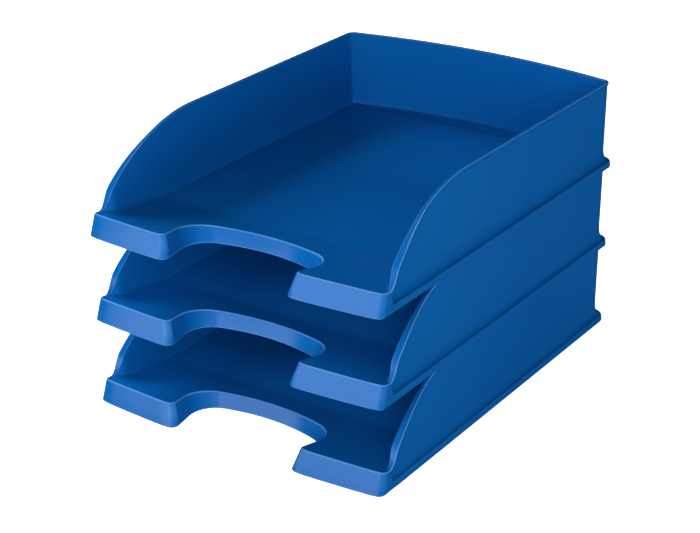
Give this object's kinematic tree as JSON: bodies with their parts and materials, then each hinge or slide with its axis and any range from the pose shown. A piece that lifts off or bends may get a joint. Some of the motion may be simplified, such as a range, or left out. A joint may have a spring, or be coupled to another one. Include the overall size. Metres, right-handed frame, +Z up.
{
  "type": "letter tray",
  "caption": "Stack of shallow open-front desk trays for paper, each with swept side walls, a stepped skirt that sits over the rim below, a front lip and a curved finger cut-out.",
  "frame": {"origin": "middle of the bottom tray's footprint, on the surface that the stack stands on", "axes": "+Z up, +Y from the open front to the closed back, +X to the right seen from the front"},
  "size_m": [0.255, 0.357, 0.2054],
  "materials": {
    "tray_plastic": "satin"
  },
  "bodies": {
    "tray_bottom_body": {"tray_bottom": "tray_plastic"},
    "tray_middle_body": {"tray_middle": "tray_plastic"},
    "tray_top_body": {"tray_top": "tray_plastic"}
  },
  "joints": [
    {"name": "lift_middle_tray", "type": "slide", "parent": "tray_bottom_body", "child": "tray_middle_body", "axis": [0, 0, 1], "range_m": [0, 0.11]},
    {"name": "lift_top_tray", "type": "slide", "parent": "tray_middle_body", "child": "tray_top_body", "axis": [0, 0, 1], "range_m": [0, 0.11]}
  ]
}
